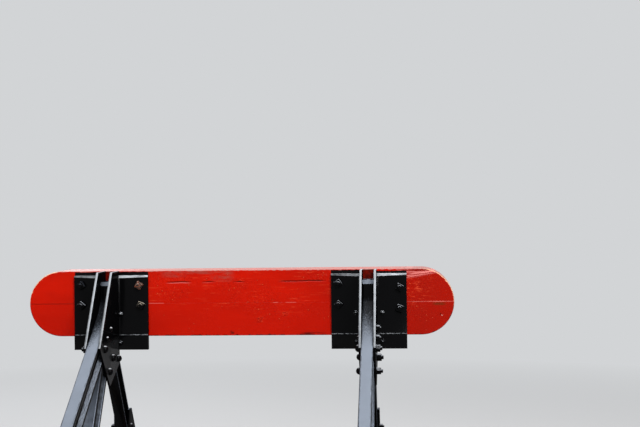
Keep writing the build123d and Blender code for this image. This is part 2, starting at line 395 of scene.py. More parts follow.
paintedSteel = {
    "black": "#060607",
    "rust": "#5A3222",
    # dust and brush marks, again under a millimetre on the real paint, are drawn 4 to 6 mm wide to show
    "patterns": {
        "all": {
            "fine": ((160, 160, 90), 3.0, 0.6), "coat": ((45, 45, 30), 3.0, 0.5),
            "broad": ((7, 7, 4), 4.0, 0.6),
        },
        "flank": {"streaky": ((260, 26, 26), 4.0, 0.7)},
        "cast": {"patchy": ((55, 55, 55), 3.0, 0.6), "thin": ((16, 60, 160), 3.0, 0.6)},
        "strut": {"grains": ((170, 80, 80), 4.0, 0.7), "scratchy": ((190, 60, 60), 3.0, 0.7)},
        "rust": {"spots": ((55, 55, 55), 5.0, 0.7)},
    },
    # between the cheeks each strut lies in the cheeks' painted shadow, black with no sheen, above a height
    # over
    # the rails: at its outer and its inner edge on the left frame and on the right, in metres
    "cheekShadow": {-1: (0.870, 0.990), 1: (0.955, 0.965)},
    "cheekShadowFade": 0.062,
    "strutHalf": 0.034,
    "endBarLow": 1.150,  # the strut's bevelled top end is pale again, dust and painted sheen
    # a painted highlight down the right-hand corner of each rolled leg: distance from the frame's middle,
    # half width, least and most
    "corner": {
        "strut": (0.0315, 0.0030, 0.4, 0.7), "leg": (0.0315, 0.0030, 0.6, 1.0),
        "front": (0.0335, 0.0016, 0.1, 0.35),
    },
    "ledge": 0.030,  # the ledges under the beam, where the dust and painted sheen are dimmer and broken
    # share of the dust and painted sheen that the rolled flanks keep, at least and at most
    "flankDustAndSheen": {"strut": (0.25, 1.35), "leg": (0.45, 1.7), "front": (0.1, 0.4)},
}


def glossBlackOnSteel(name, dustAndSheenColour, dustAndSheenShare, rustShare=0.0, tilts=(0.38, 0.62), grit=0.06, shade=None):
    # thick brushed gloss black on cast and rolled steel, pale where faces look up with dust and a painted
    # sheen of the sky; tilts are the upward part of a face's direction where this starts and where it is
    # complete
    size = paintedSteel
    material, add, shader = newMaterial(name)
    times = partial(product, add)
    fine, coat, broad = patterns(add, size["patterns"]["all"])
    across, outward, upward = add("split", add("facing")).outputs
    x, y, z = add("split", add("place")).outputs
    tilt = add("add", upward, add("range", coat, 0.3, 0.7, -grit, grit))
    dustAndSheen = times((tilt, *tilts, 0.0, dustAndSheenShare), (broad, 0.3, 0.6, 0.90, 1.0))
    if shade in size["flankDustAndSheen"]:
        # the rolled flanks keep dust and painted sheen in streaks along them; a corner gets a painted
        # highlight
        streaky, = patterns(add, size["patterns"]["flank"])
        streaks = add("range", streaky, 0.35, 0.65, *size["flankDustAndSheen"][shade])
        flank = add("range", add("absolute", across), 0.12, 0.28)
        place, half, least, most = size["corner"][shade]
        offset = add("subtract", x, times(add("sign", x), frameX))
        corner = times(within(add, offset, place, half, half * 0.6), (outward, -0.3, -0.5),
                       (fine, 0.35, 0.6, least, most))
        dustAndSheen = add("maximum", times(dustAndSheen, add("between", flank, 1.0, streaks)), corner)
    # the pale colour fades out towards the top, a painted shadow of the strut on the rear legs
    if shade == "leg":
        dustAndSheen = times(dustAndSheen, (z, railTop + 0.72, railTop + 0.36, 0.08, 1.1))
    if shade == "cast":
        # a faint painted reflection on the gussets' sides; dust and painted sheen broken on ledges and upper
        # bevels
        patchy, thin = patterns(add, size["patterns"]["cast"])
        film = times((add("absolute", across), 0.85, 0.95),
                     (z, beamBottom + 0.01, beamBottom - 0.03, 0.0, 0.03))
        ledge = beamBottom + size["ledge"]
        low = times((z, ledge, ledge - 0.004), (y, beamBack - 0.036, beamBack - 0.032))
        high = times((z, beamTop - 0.05, beamTop - 0.045), (y, beamBack - 0.024, beamBack - 0.022))
        dustAndSheen = times(add("maximum", dustAndSheen, film),
                      add("between", low, 1.0, add("range", patchy, 0.42, 0.6, 0.04, 0.55)),
                      add("between", high, 1.0, add("range", thin, 0.36, 0.56, 0.45, 1.15)))
    if shade == "strut":
        # the cheeks' painted shadow on each strut above a slanting line, pale scratches in it, and the
        # painted sheen again on the bevelled top end
        grains, scratchy = patterns(add, size["patterns"]["strut"])
        limits = []
        for side, levels in size["cheekShadow"].items():
            outer, inner = (railTop + level for level in levels)
            middle = side * frameX
            half = -side * size["strutHalf"]
            limits.append(add("range", x, middle - half, middle + half, outer, inner))
        limit = add("between", add("greater_than", x, 0.0), *limits)
        height = add("add", z, add("range", grains, 0.3, 0.7, -0.06, 0.06))
        outOfShadow = add("range", add("subtract", height, limit), size["cheekShadowFade"], -size["cheekShadowFade"])
        outOfShadow = add("maximum", outOfShadow, add("range", scratchy, 0.58, 0.70, 0.08, 0.42))
        endLow = railTop + size["endBarLow"]
        endBar = times((z, endLow, endLow + 0.01), (x, -frameX - 0.034, -frameX + 0.012, 0.2, 1.0))
        dustAndSheen = times(dustAndSheen, add("maximum", outOfShadow, endBar))
    colour = add("mix", dustAndSheen, size["black"], dustAndSheenColour)
    if rustShare:
        spots, = patterns(add, size["patterns"]["rust"])
        colour = painted(add, size, colour, ((spots, 0.68, 0.75, 0.0, rustShare), "rust"))
    setInputs(shader, {
        "Base Color": colour,
        "Roughness": add("add", add("range", broad, 0.3, 0.7, 0.08, 0.16), times(dustAndSheen, 0.4)),
        "Specular IOR Level": 0.0,
        "Coat Weight": 0.12,
        "Coat Roughness": 0.10,
        "Normal": add("bump", fine, 0.0003, 0.4, add("bump", coat, 0.0006, 0.4)),
    })
    return material


rustedSteel = {
    "dark": "#26170F",
    "mid": "#533223",
    "bright": "#8A5238",
    "orange": "#9A5A34",
    "lilac": "#77696C",
    "running": "#A08077",
    # the rust's grit, really half a millimetre, is drawn 2.4 mm wide to show
    "patterns": {
        "scale": ((60, 22, 60), 6.0, 0.68),
        "blotch": ((9, 3, 9), 4.0, 0.6),
        "runs": ((40, 40, 5), 3.0, 0.6),
        "grit": ((420, 420, 420), 2.0, 0.5),
    },
    "flakes": (70, 30, 70),
}


def rustedRail(name, rubbedTop):
    # hot-rolled rail steel left bare: a brown rust film with flaked scale, rubbed pinkish on the head
    size = rustedSteel
    material, add, shader = newMaterial(name)
    up = add("split", add("facing")).outputs["Z"]
    z = add("split", add("place")).outputs["Z"]
    scale, blotch, runs, grit = patterns(add, size["patterns"])
    cells = add("ShaderNodeTexVoronoi", inputs={
        "Vector": add("stretch", add("place"), size["flakes"]), "Scale": 1.0})
    flake = add("split", cells.outputs["Color"]).outputs["X"]
    layers = [
        ((scale, 0.36, 0.62), "mid"),
        ((blotch, 0.5, 0.7, 0.0, 0.65), "bright"),
        ((flake, 0.75, 0.9, 0.0, 0.35), "dark"),
        ((runs, 0.55, 0.7, 0.0, 0.5), "orange"),
        ((up, 0.5, 0.95, 0.0, 0.5), "lilac"),
    ]
    if rubbedTop:
        layers.append(((z, railTop - 0.006, railTop - 0.001), (scale, 0.3, 0.6, 0.95, 0.5), "running"))
    normal = add("bump", scale, 0.0014, 0.7)
    normal = add("bump", flake, 0.0004, 0.5, normal)
    setInputs(shader, {
        "Base Color": painted(add, size, "dark", *layers),
        "Roughness": add("range", scale, 0.3, 0.7, 0.60, 0.88),
        "Metallic": 0.3,
        "Normal": add("bump", grit, 0.0004, 0.6, normal),
    })
    return material


sleeperWood = {
    "pale": "#B3A68C",
    "grey": "#8E8878",
    "dark": "#42372A",
    "olive": "#675B40",
    "creosote": "#2A2119",
    "heart": "#7A6A4C",
    "crack": "#0E0A07",
    # fibres too fine to show are drawn 1.6 mm wide, and the grain 8 mm
    "patterns": {
        "grain": ((2.4, 120, 120), 8.0, 0.66, 0.5),
        "fibre": ((14, 620, 620), 4.0, 0.6),
        "patch": ((1.6, 9, 12), 4.0, 0.6),
        "cracks": ((1.8, 60, 60), 3.0, 0.5),
        "waver": ((1, 25, 25), 3.0, 0.5),
    },
    "ringsFrom": -0.03,  # the heart of the tree lies below the sleepers' ends
    "rings": 900.0,  # radians a metre: rings of 7 mm, wider than real ones of 2 to 4 mm, so that they show
}


def weatheredSoftwood():
    # sawn softwood, soaked in creosote and bleached by sun: silver-tan ridges, dark valleys, checked ends
    size = sleeperWood
    material, add, shader = newMaterial("weathered_softwood")
    facing = add("split", add("ShaderNodeNewGeometry").outputs["True Normal"]).outputs
    endOn = add("range", add("absolute", facing["X"]), 0.6, 0.9)
    x, y, z = add("split", add("place")).outputs
    grain, fibre, patch, cracks, waver = patterns(add, size["patterns"])
    top = painted(add, size, "dark", ((grain, 0.36, 0.60), "pale"), ((patch, 0.42, 0.66, 0.0, 0.8), "grey"))
    split = within(add, cracks, 0.5, 0.006, 0.004)
    weathered = painted(add, size, "creosote", ((grain, 0.35, 0.65), "olive"),
                        ((patch, 0.55, 0.75, 0.0, 0.5), "grey"), ((facing["Z"], 0.35, 0.8), top),
                        (split, 0.8, "creosote"))
    # growth rings about a heart below each end, and drying cracks that run out from it
    row = add("subtract", add("fract", product(add, y, 1.9)), 0.5)
    height = add("subtract", z, size["ringsFrom"])
    spread = product(add, row, 0.5)
    radius = add("sqrt", add("add", product(add, spread, spread), product(add, height, height)))
    bend = add("range", waver, 0.3, 0.7, -0.006, 0.006)
    ring = add("sine", product(add, add("add", radius, bend), size["rings"]))
    angle = add("arctan2", spread, height)
    rays = add("noise", add("join", product(add, angle, 14.0), product(add, radius, 5.0), x), 1.0, 2.0, 0.5)
    endGrain = painted(add, size, "creosote", ((ring, -0.6, 0.8), "heart"),
                       ((patch, 0.4, 0.7, 0.0, 0.6), "grey"),
                       (within(add, rays, 0.5, 0.012, 0.008), "crack"))
    colour = painted(add, size, weathered, (endOn, 0.95, endGrain), ((z, 0.035, 0.0, 0.0, 0.6), "creosote"))
    setInputs(shader, {
        "Base Color": colour,
        "Roughness": 0.9,
        "Normal": add("bump", fibre, 0.0012, 0.6, add("bump", grain, 0.004, 0.75)),
    })
    return material


bareSteel = {
    "dark": "#120806",
    "orange": "#8C4422",
    "scratched": "#DCC2B0",
    # scratches, really under a millimetre wide, are drawn 5 to 8 mm wide to show
    "patterns": {"patchy": ((90, 90, 90), 3.0, 0.6), "scratch": ((120, 60, 200), 3.0, 0.7)},
}


def scratchedBareSteel():
    # a nut whose paint is gone: brown and orange rust with bright spanner scratches,
    # with a painted highlight where faces look up
    size = bareSteel
    material, add, shader = newMaterial("scratched_bare_steel")
    patchy, scratch = patterns(add, size["patterns"])
    up = add("split", add("facing")).outputs["Z"]
    colour = painted(add, size, "dark", ((patchy, 0.48, 0.62), "orange"),
                     ((scratch, 0.56, 0.63), (up, -0.1, 0.35, 0.35, 0.9), "scratched"))
    setInputs(shader, {
        "Base Color": colour,
        "Roughness": 0.55,
        "Metallic": 0.2,
        "Normal": add("bump", scratch, 0.0012, 0.7),
    })
    return material


redPaint = glossRedOnTimber()
# the pale colour each black paint takes where faces look up is dust and a painted sheen; on nuts and cup
# heads it makes their painted highlights
blackPaint = glossBlackOnSteel("gloss_black_on_legs", "#98A2B2", 0.36, 0.1, shade="leg")
blackFront = glossBlackOnSteel("gloss_black_on_front_legs", "#98A2B2", 0.30, 0.1, shade="front")
blackStrut = glossBlackOnSteel("gloss_black_on_struts", "#9AA3B0", 0.55, grit=0.03, shade="strut")
blackCasting = glossBlackOnSteel("gloss_black_on_castings", "#B8BCC0", 0.78, 0.1, grit=0.035, shade="cast")
blackNut = glossBlackOnSteel("gloss_black_on_nuts", "#C8CCD2", 0.55, 0.25, (0.40, 0.85), 0.2)
blackDome = glossBlackOnSteel("gloss_black_on_cup_heads", "#E2E4E6", 0.80, 0.0, (0.50, 0.74), 0.05)
blackGussetDome = glossBlackOnSteel(
    "gloss_black_on_large_cup_heads", "#DCDEE2", 0.65, 0.0, (0.74, 0.90), 0.05)
blackRootNut = glossBlackOnSteel("gloss_black_on_small_nuts", "#D4D8DC", 0.9, 0.0, (0.10, 0.70), 0.2)
thinNut = glossBlackOnSteel("thin_black_on_nut", "#B9AE9C", 0.75, 0.9, (0.15, 0.80), 0.3)
railSteel = rustedRail("rusted_rail_steel", True)
plateIron = rustedRail("rusted_cast_iron", False)
rustyFixing = rustedRail("rusted_fixings", False)
bareNut = scratchedBareSteel()
timber = weatheredSoftwood()
print("materials made")


# Camera, floor and lights

photoCamera = {
    "place": (0.97504, -6.59568, 1.89926),
    "yaw": 4.031,  # degrees left of straight ahead
    "pitch": -0.216,
    "roll": -0.704,
    "focal": 1230.0,  # in pixels of the 640 pixel frame
    "frameWidth": 640.0,
    "sensor": 36.0,
}


def placeCamera():
    size = photoCamera
    yaw, pitch, roll = (math.radians(size[key]) for key in ("yaw", "pitch", "roll"))
    lens = bpy.data.cameras.new("photo_camera")
    lens.sensor_width = size["sensor"]
    lens.lens = size["focal"] / size["frameWidth"] * size["sensor"]
    lens.clip_end = 200.0
    holder = placedObject("photo_camera", lens)
    level = Matrix.Rotation(yaw, 4, "Z") @ Matrix.Rotation(math.pi / 2 + pitch, 4, "X")
    turn = level @ Matrix.Rotation(roll, 4, "Z")
    holder.matrix_world = Matrix.Translation(size["place"]) @ turn
    bpy.context.scene.camera = holder


studio = {
    "floorHalf": 400.0,
    "floor": "#BCBBB9",
    "horizon": "#C6C8CA",
    "zenith": "#F0F3F8",
    "zenithFrom": 0.6,
    "worldStrength": 0.72,
    "backdrop": "#D2D4D6",  # what the camera and the shiny faces see beyond the near floor
    "nearFloor": 3.2,  # the lit floor that takes the shadow fades into the backdrop from here
    "farFloor": 9.0,
    # name, centre, aimed at, width, depth, watts, colour
    "lamps": (
        ("overhead_softbox", (0.0, 0.1, 6.2), (0.0, 0.1, 0.0), 8.0, 7.0, 400.0, "#FAFBFF"),
        ("back_key", (3.4, -6.4, 5.6), (0.0, 0.3, 0.9), 2.4, 2.4, 430.0, "#FFFFFF"),
        ("front_fill", (-3.5, 6.5, 4.0), (0.0, 0.3, 0.6), 3.0, 3.0, 110.0, "#F4F8FF"),
    ),
}


def seenDirectly(add):
    rays = add("ShaderNodeLightPath").outputs
    either = add("maximum", rays["Is Camera Ray"], rays["Is Glossy Ray"])
    return add("maximum", either, rays["Is Transmission Ray"])


def buildFloor():
    size = studio
    material, add, shader = newMaterial("pale_floor")
    setInputs(shader, {"Base Color": size["floor"], "Roughness": 0.9, "Specular IOR Level": 0.1})
    away = add("ShaderNodeVectorMath", inputs={0: add("place")}, operation="LENGTH").outputs["Value"]
    far = product(add, (away, size["nearFloor"], size["farFloor"]), seenDirectly(add))
    glow = add("ShaderNodeEmission", inputs={"Color": size["backdrop"], "Strength": 1.0})
    both = add("ShaderNodeMixShader", inputs={0: far, 1: shader.outputs["BSDF"], 2: glow.outputs["Emission"]})
    setInputs(material.node_tree.nodes["Material Output"], {"Surface": both.outputs[0]})
    body = bmesh.new()
    half = size["floorHalf"]
    corners = ((-half, -half), (half, -half), (half, half), (-half, half))
    body.faces.new([body.verts.new((x, y, 0.0)) for x, y in corners])
    meshObject("floor", body, material)


def buildLights():
    size = studio
    world = bpy.data.worlds.new("studio_world")
    bpy.context.scene.world = world
    world.use_nodes = True
    world.node_tree.nodes.clear()
    add = partial(addNode, world.node_tree)
    height = add("split", add("ShaderNodeTexCoord").outputs["Generated"]).outputs["Z"]
    sky = add("ShaderNodeValToRGB", inputs={"Fac": height})
    stops = ((0.0, size["horizon"]), (size["zenithFrom"], size["zenith"]))
    for element, (place, colour) in zip(sky.color_ramp.elements, stops):
        element.position = place
        element.color = linear(colour)
    light = add("ShaderNodeBackground", inputs={
        "Color": sky.outputs["Color"], "Strength": size["worldStrength"]})
    seen = add("ShaderNodeBackground", inputs={"Color": size["backdrop"], "Strength": 1.0})
    both = add("ShaderNodeMixShader", inputs={
        0: seenDirectly(add), 1: light.outputs["Background"], 2: seen.outputs["Background"]})
    add("ShaderNodeOutputWorld", inputs={"Surface": both.outputs[0]})
    for name, centre, target, width, depth, watts, colour in size["lamps"]:
        lamp = bpy.data.lights.new(name, "AREA")
        lamp.shape = "RECTANGLE"
        lamp.size = width
        lamp.size_y = depth
        lamp.energy = watts
        lamp.color = linear(colour)[:3]
        aim = Vector(target) - Vector(centre)
        turn = aim.to_track_quat("-Z", "Y").to_matrix().to_4x4()
        placedObject(name, lamp).matrix_world = Matrix.Translation(centre) @ turn


placeCamera()
buildFloor()
buildLights()
bpy.context.scene.view_settings.view_transform = "Standard"
print("camera, floor and lamps placed")


# The beam: two sawn baulks, one on the other, with half-round ends

baulk = {
    "arcSteps": 28,
    "arris": 0.004,  # rounded outer edge
    "seamArris": 0.0004,  # eased edge along the seam
    "seamGap": 0.0002,
}


def halfBaulk(body, up):
    size = baulk
    reach = (beamHigh.x - beamLow.x) / 2 - beamRadius
    steps = size["arcSteps"]
    outline = [(reach + beamRadius * math.cos(a), beamRadius * math.sin(a))
               for a in (i * math.pi / 2 / steps for i in range(steps + 1))]
    outline += [(-x, z) for x, z in reversed(outline)]
    lift = size["seamGap"] / 2
    rows = []
    for y in (beamBack, beamFront):
        rows.append([body.verts.new((x, y, beamCentre + up * max(z, lift))) for x, z in outline])
    weights = body.edges.layers.float["bevel_weight_edge"]
    eased = size["seamArris"] / size["arris"]
    for face in loft(body, rows):
        for edge in face.edges:
            low = all(abs(vert.co.z - beamCentre) < size["arris"] for vert in edge.verts)
            edge[weights] = eased if low else 1.0
    for i in (0, -1):
        body.edges.get((rows[0][i], rows[1][i]))[weights] = eased


def buildBeam():
    body = bmesh.new()
    body.edges.layers.float.new("bevel_weight_edge")
    halfBaulk(body, 1)
    halfBaulk(body, -1)
    bmesh.ops.recalc_face_normals(body, faces=body.faces)
    piece = meshObject("painted_beam", body, redPaint)
    finish(smoothEdges(piece, baulk["arris"], 3, True), redPaint, "buffer_beam")


buildBeam()
print("beam built")


# The frames' rolled and cast pieces: the frame's own shapes with rounded, shiny edges

edges = {
    # node part: edge radius and material
    "outer_bracket": (0.0018, blackCasting),
    "inner_bracket": (0.0018, blackCasting),
    "back_strut": (0.0012, blackStrut),
    "rear_leg": (0.0012, blackPaint),
    "front_leg": (0.0025, blackFront),
    "strut_foot_plates": (0.0015, blackPaint),
    "rear_foot_plates": (0.0015, blackPaint),
    "front_foot_plates": (0.0015, blackFront),
    "base_rail": (0.0012, railSteel),
    "rail_plates": (0.0020, plateIron),
}


def dressNode(node, radius, material):
    body = bmesh.new()
    body.from_mesh(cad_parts[node].data)
    bmesh.ops.remove_doubles(body, verts=body.verts, dist=0.00002)
    bmesh.ops.dissolve_limit(body, angle_limit=math.radians(0.6), verts=body.verts, edges=body.edges)
    piece = meshObject(node + "_dressed", body, material)
    finish(smoothEdges(piece, radius), material, node)


for label, _ in sides:
    for part, (radius, material) in edges.items():
        dressNode(label + "_" + part, radius, material)
print("frames dressed")


# Bolts, nuts and screws: each kind is turned or cut once, then set on its places by nodes

def turned(body, profile, steps=24):
    # a solid of revolution about Z from (radius, height) points in millimetres
    verts = [body.verts.new((r * mm, 0.0, h * mm)) for r, h in profile]
    edgeList = [body.edges.new(pair) for pair in zip(verts, verts[1:])]
    bmesh.ops.spin(body, geom=verts + edgeList, cent=(0, 0, 0), axis=(0, 0, 1), steps=steps,
                   angle=2 * math.pi, use_duplicate=False)
    bmesh.ops.remove_doubles(body, verts=body.verts, dist=0.00001)


def prism(body, corners, acrossFlats, low, high, cut):
    # a nut or bolt head: flat sides, with the corners of its outer face cut back
    radius = acrossFlats / 2 / math.cos(math.pi / corners) * mm
    ring = [(radius * math.cos(a), radius * math.sin(a))
            for a in ((i + 0.5) * 2 * math.pi / corners for i in range(corners))]
    made = [[body.verts.new((x, y, z * mm)) for x, y in ring] for z in (low, high)]
    loft(body, made)
    bmesh.ops.bevel(body, geom=made[1], offset=cut * mm, affect="VERTICES", segments=1)


fasteners = []


def fastener(name, nutParts, roundParts, radius=0.0010):
    body = bmesh.new()
    for nutPart in nutParts:
        prism(body, *nutPart)
    for profile in roundParts:
        turned(body, profile)
    bmesh.ops.recalc_face_normals(body, faces=body.faces)
    fasteners.append(smoothEdges(meshObject(name, body, blackNut), radius))
    return fasteners[-1]


def boltEnd(radius, low, high):
    return [(0, high), (radius - 2.2, high), (radius, high - 2.2), (radius, low), (0, low)]


def dome(radius, height, rim=2.5):
    # a cup head: a short rim, then part of a ball
    ball = (radius ** 2 + (height - rim) ** 2) / (2 * (height - rim))
    sweep = math.asin(min(1.0, radius / ball))
    arc = [(ball * math.sin(sweep * i / 8), height - ball + ball * math.cos(sweep * i / 8)) for i in range(9)]
    return arc + [(radius, 0), (0, 0)]


def placingTree(material):
    # points with a turn each -> fasteners, real meshes, one material
    tree = bpy.data.node_groups.new("set_fasteners", "GeometryNodeTree")
    for name, kind in (("Places", "Geometry"), ("Fastener", "Object"), ("Spanner jitter", "Float"),
                       ("Seating depth", "Float"), ("Seed", "Int")):
        tree.interface.new_socket(name, in_out="INPUT", socket_type="NodeSocket" + kind)
    tree.interface.new_socket("Set", in_out="OUTPUT", socket_type="NodeSocketGeometry")
    add = partial(addNode, tree)
    given = add("NodeGroupInput").outputs
    turn = add("GeometryNodeInputNamedAttribute", inputs={"Name": "turn"}, data_type="FLOAT_VECTOR")
    rotation = add("FunctionNodeEulerToRotation", inputs={0: turn.outputs["Attribute"]})
    jitter = given["Spanner jitter"]
    swing = add("FunctionNodeRandomValue", data_type="FLOAT", inputs={
        2: add("multiply", jitter, -1.0), 3: jitter, "Seed": given["Seed"]})
    spin = add("join", 0.0, 0.0, swing.outputs[1])
    local = add("FunctionNodeEulerToRotation", inputs={0: spin})
    facing = add("FunctionNodeRotateRotation", rotation_space="LOCAL", inputs={
        0: rotation.outputs[0], 1: local.outputs[0]})
    shape = add("GeometryNodeObjectInfo", inputs={"Object": given["Fastener"]})
    sunk = add("join", 0.0, 0.0, add("multiply", given["Seating depth"], -1.0))
    seated = add("GeometryNodeTransform", inputs={"Geometry": shape.outputs["Geometry"], "Translation": sunk})
    placed = add("GeometryNodeInstanceOnPoints", inputs={
        "Points": given["Places"], "Instance": seated.outputs[0], "Rotation": facing.outputs[0]})
    real = add("GeometryNodeRealizeInstances", inputs={0: placed.outputs[0]})
    coated = add("GeometryNodeSetMaterial", inputs={0: real.outputs[0], "Material": material})
    add("NodeGroupOutput", inputs={0: coated.outputs[0]})
    return tree


facings = {
    "rear": Vector((0, -1, 0)), "train": Vector((0, 1, 0)), "left": Vector((-1, 0, 0)),
    "right": Vector((1, 0, 0)), "up": Vector((0, 0, 1)),
}


def setFasteners(name, shape, places, material, jitter=0.0, depth=0.0005, seed=1):
    # places: (position, facing, degrees about the facing)
    mesh = bpy.data.meshes.new(name)
    mesh.from_pydata([tuple(place) for place, _, _ in places], [], [])
    turns = mesh.attributes.new("turn", "FLOAT_VECTOR", "POINT")
    for item, (_, facing, degrees) in zip(turns.data, places):
        swing = Euler((0, 0, math.radians(degrees))).to_quaternion()
        item.vector = (facings[facing].to_track_quat("Z", "Y") @ swing).to_euler()
    piece = placedObject(name, mesh)
    tree = placingTree(material)
    modifier = piece.modifiers.new("places", "NODES")
    modifier.node_group = tree
    values = {"Fastener": shape, "Spanner jitter": math.radians(jitter), "Seating depth": depth, "Seed": seed}
    for item in tree.interface.items_tree:
        if item.in_out == "INPUT" and item.name in values:
            modifier[item.identifier] = values[item.name]
    finish(plainMesh(piece), material)


flangeBolts = {
    "nutAcross": 38.0,  # square nut of a one inch bolt, turned on its corner
    "nutThick": 21.0,
    "nutCut": 5.0,  # off each corner
    "endReach": 32.0,
    "endRadius": 12.7,
    "flangeFace": 20.0,  # back of the flange behind the beam
    "padFace": 28.0,
    "column": 176.0,
    "beamMiddle": 1054.0,
    # frame and bracket: heights of the two bolts from the beam's middle, then the small bolts beside the
    # cheek, across from the strut's middle
    "brackets": {
        ("left", -1): (107, -9, 72), ("left", 1): (107, -9, 57),
        ("right", -1): (109, -12, 75), ("right", 1): (84, -36, 77),
    },
    "rootRows": (-61.0, -229.0),
    "bareShift": -9.0,  # the bare nut sits off its column
    # corners, width, bottom, top and cut of a square washer, then a cup head's radius and height on it
    "washer": (4, 70.0, 0, 6.0, 6.0),
    "cupHead": (26.0, 13.0),
    # the small bolts' nut in the same way, and the radius, bottom and top of the bolt's end
    "rootNut": (6, 24.0, 0, 12.0, 2.0),
    "rootEnd": (7.0, 11, 19),
    # the nuts that differ: frame, bracket and row
    "special": {
        ("left", -1, 0): "dull_flange_nut", ("left", 1, 0): "bare_flange_nut",
        ("left", 1, 1): "thinly_painted_flange_nut",
    },
    # piece: material, jitter in degrees and seed
    "nuts": {
        "flange_nuts": (blackNut, 6.0, 3),
        "dull_flange_nut": (blackFront, 2.0, 2),
        "bare_flange_nut": (bareNut, 2.0, 4),
        "thinly_painted_flange_nut": (thinNut, 2.0, 12),
    },
}


def buildFlangeBolts():
    size = flangeBolts
    nuts = {name: [] for name in size["nuts"]}
    heads = []
    roots = ([], [])
    for (label, hand), (*rises, rootColumn) in size["brackets"].items():
        side = dict(sides)[label]
        for row, rise in enumerate(rises):
            height = size["beamMiddle"] + rise
            chosen = size["special"].get((label, hand, row), "flange_nuts")
            shift = size["bareShift"] if chosen == "bare_flange_nut" else 0.0
            back = spot(side, hand * size["column"] + shift, size["flangeFace"], height)
            nuts[chosen].append((back, "rear", 45.0 + hand * 12.0 + 9.0 * row))
            front = spot(side, hand * size["column"], (beamBack - beamFront) / mm, height)
            heads.append((front, "train", 0.0))
        for places, rise, face in zip(roots, size["rootRows"], (size["flangeFace"], size["padFace"])):
            place = spot(side, hand * rootColumn, face, size["beamMiddle"] + rise)
            places.append((place, "rear", 20.0 * hand))
    nut = fastener("square_nut", [(4, size["nutAcross"], 0, size["nutThick"], size["nutCut"])],
                   [boltEnd(size["endRadius"], size["nutThick"] - 1, size["endReach"])], 0.0018)
    for name, (material, jitter, seed) in size["nuts"].items():
        setFasteners(name, nut, nuts[name], material, jitter, seed=seed)
    raised = [(r, h + size["washer"][3]) for r, h in dome(*size["cupHead"])]
    cup = fastener("cup_head", [size["washer"]], [raised])
    setFasteners("beam_bolt_heads", cup, heads, redPaint, 4.0, seed=5)
    stud = fastener("root_bolt", [size["rootNut"]], [boltEnd(*size["rootEnd"])], 0.0016)
    setFasteners("flange_root_bolts", stud, roots[0], blackRootNut, 15.0, seed=6)
    setFasteners("hanging_pad_bolts", stud, roots[1], blackNut, 15.0, seed=13)


throughBolts = {
    # each kind has a nut on the frame's outer face and a cup head on its inner one: the face from the
    # frame's middle, then the nut's width and top, washer, bolt end's radius and top, cup head's radius and
    # height, its material, the nuts' turn and the seeds
    "small_cheek": (46.13, 30.0, 20.0, 18, 8.5, 28, 15.0, 13.5, blackDome, 11.0, (7, 8)),
    "large_cheek": (46.13, 36.0, 25.0, 22, 10.5, 36, 20.5, 23.0, blackGussetDome, 11.0, (7, 8)),
    "foot": (47.625, 30.0, 19.0, 19, 9.5, 27, 21.0, 18.0, blackGussetDome, 7.0, (9, 10)),
    "jitter": 25.0,
    "washerThick": 3,
    # setback and height above the rails of each bolt; at the feet, of the front leg, rear leg and strut
    "places": {
        "small_cheek": ((226, 924), (308, 878)),
        "large_cheek": ((375, 828), (192, 759), (59, 740), (272, 691)),
        "foot": (
            (-246, 290), (-380, 120), (-290, -70), (-470, -70),
            (720, 150), (770, 55), (690, -70), (850, -70),
            (1520, 80), (1640, 30), (1460, -70), (1700, -70),
        ),
    },
}


def buildThroughBolts(kind):
    size = throughBolts
    face, across, top, washer, endRadius, endTop, capRadius, capHeight, coat, turn, seeds = size[kind]
    cut = across / 12  # off each corner
    thick = size["washerThick"]
    nut = fastener(kind + "_nut", [(6, across, thick, top, cut)], [
        [(0, thick), (washer, thick), (washer, 0), (0, 0)], boltEnd(endRadius, top - 1, endTop)])
    cap = fastener(kind + "_dome", [], [dome(capRadius, capHeight)])
    nuts = []
    domes = []
    for _, side in sides:
        outer, inner = ("left", "right") if side < 0 else ("right", "left")
        for reach, height in size["places"][kind]:
            nuts.append((spot(side, side * face, reach, height), outer, turn))
            domes.append((spot(side, -side * face, reach, height), inner, 0.0))
    setFasteners(kind + "_nuts", nut, nuts, blackNut, size["jitter"], seed=seeds[0])
    setFasteners(kind + "_domes", cap, domes, coat, 0.0, seed=seeds[1])


trackFixings = {
    "plateTop": 147.0,  # top of the baseplates above the ground, in millimetres
    "plateReach": 146.0,  # coach screws from the rail's middle
    "screwSpread": 58.0,
    # the coach screw's square head: corners, width, bottom, top and cut, and the outline of its flange
    "screwHead": (4, 24.0, 9, 27.0, 2.5),
    "screwFlange": ((0, 10), (15, 10), (20, 8), (26, 4), (27, 0), (0, 0)),
    "clipBar": 9.0,  # radius of the sprung bar
    # the bar's route from the rail's middle, in millimetres: through the shoulder's bore, round its
    # outside, and over its end to the toe on the rail's foot
    "clipRoute": (
        (85.85, -40, 164), (85.85, 0, 164), (85.85, 34, 164), (88, 56, 167), (103, 69, 177), (123, 60, 186),
        (131, 34, 187), (127, 2, 184), (121, -28, 186), (106, -50, 194), (84, -57, 197), (64, -47, 190),
        (54, -24, 178), (52, 0, 172.5), (53, 14, 172.5),
    ),
}


def springClip():
    size = trackFixings
    bar = bpy.data.curves.new("spring_clip", "CURVE")
    bar.dimensions = "3D"
    bar.bevel_depth = size["clipBar"] * mm
    bar.bevel_resolution = 3
    bar.resolution_u = 5
    bar.use_fill_caps = True
    route = bar.splines.new("NURBS")
    route.points.add(len(size["clipRoute"]) - 1)
    for point, place in zip(route.points, size["clipRoute"]):
        point.co = (*(value * mm for value in place), 1.0)
    route.order_u = 3
    route.use_endpoint_u = True
    piece = placedObject("spring_clip", bar)
    mesh = bpy.data.meshes.new_from_object(piece)
    bpy.data.objects.remove(piece)
    for face in mesh.polygons:
        face.use_smooth = True
    fasteners.append(placedObject("spring_clip", mesh))
    return fasteners[-1]


